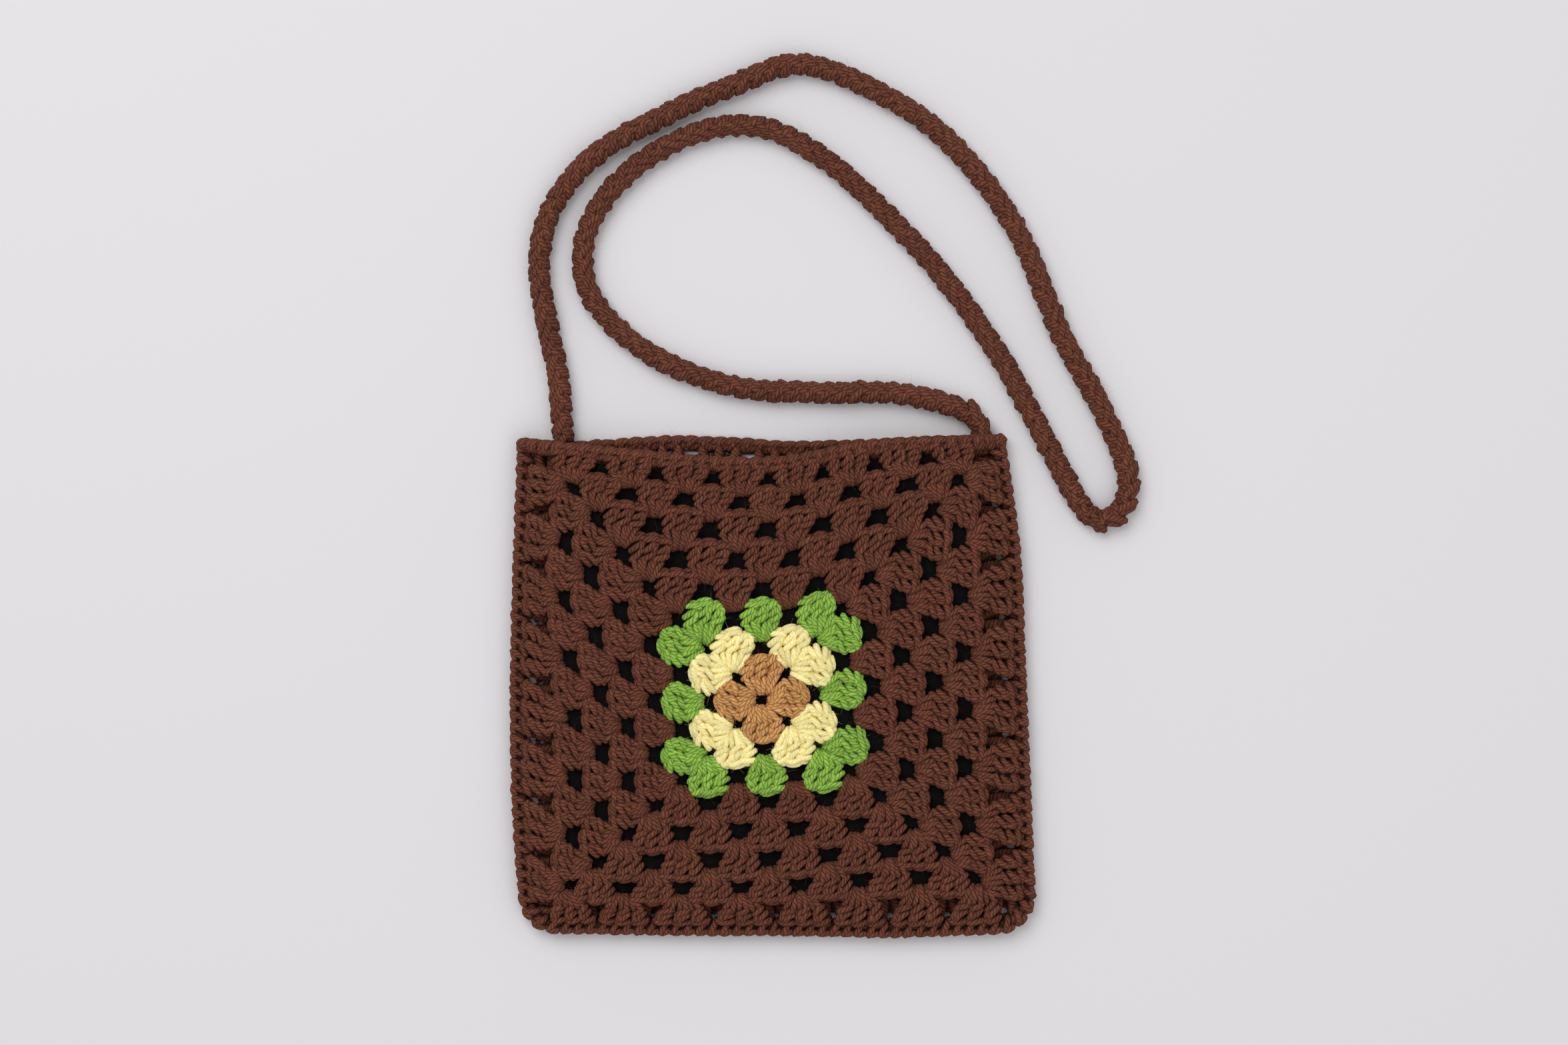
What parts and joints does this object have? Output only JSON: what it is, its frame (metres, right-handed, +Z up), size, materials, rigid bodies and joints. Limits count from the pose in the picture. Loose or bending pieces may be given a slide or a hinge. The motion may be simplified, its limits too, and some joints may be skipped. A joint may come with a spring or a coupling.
{
  "type": "crossbody purse",
  "caption": "Soft crocheted granny square crossbody purse lying flat, with a flower centre, a pierced brown front, a black lining pocket and a long crocheted cord strap.",
  "frame": {"origin": "middle of the bag's own footprint on the surface that it lies on, without the strap", "axes": "+Z up out of the front of the bag, +Y towards its mouth, +X to the right as seen from the front"},
  "size_m": [0.2681, 0.3767, 0.0172],
  "materials": {
    "brown_yarn": "matt dark brown acrylic yarn, crocheted",
    "tan_yarn": "matt tan acrylic yarn, crocheted",
    "yellow_yarn": "matt pale yellow acrylic yarn, crocheted",
    "green_yarn": "matt leaf green acrylic yarn, crocheted",
    "black_cloth": "matt black woven cloth"
  },
  "bodies": {
    "root": {"flower_centre": "tan_yarn", "petal_pair_1": "yellow_yarn", "petal_pair_2": "yellow_yarn", "petal_pair_3": "yellow_yarn", "petal_pair_4": "yellow_yarn", "leaf_pair_1": "green_yarn", "leaf_pair_2": "green_yarn", "leaf_pair_3": "green_yarn", "leaf_pair_4": "green_yarn", "leaf_single_1": "green_yarn", "leaf_single_2": "green_yarn", "leaf_single_3": "green_yarn", "leaf_single_4": "green_yarn", "front_field": "brown_yarn", "back_panel": "brown_yarn", "side_seam": "brown_yarn", "front_rim": "brown_yarn", "back_rim": "brown_yarn", "lining": "black_cloth", "strap": "brown_yarn"}
  },
  "joints": []
}
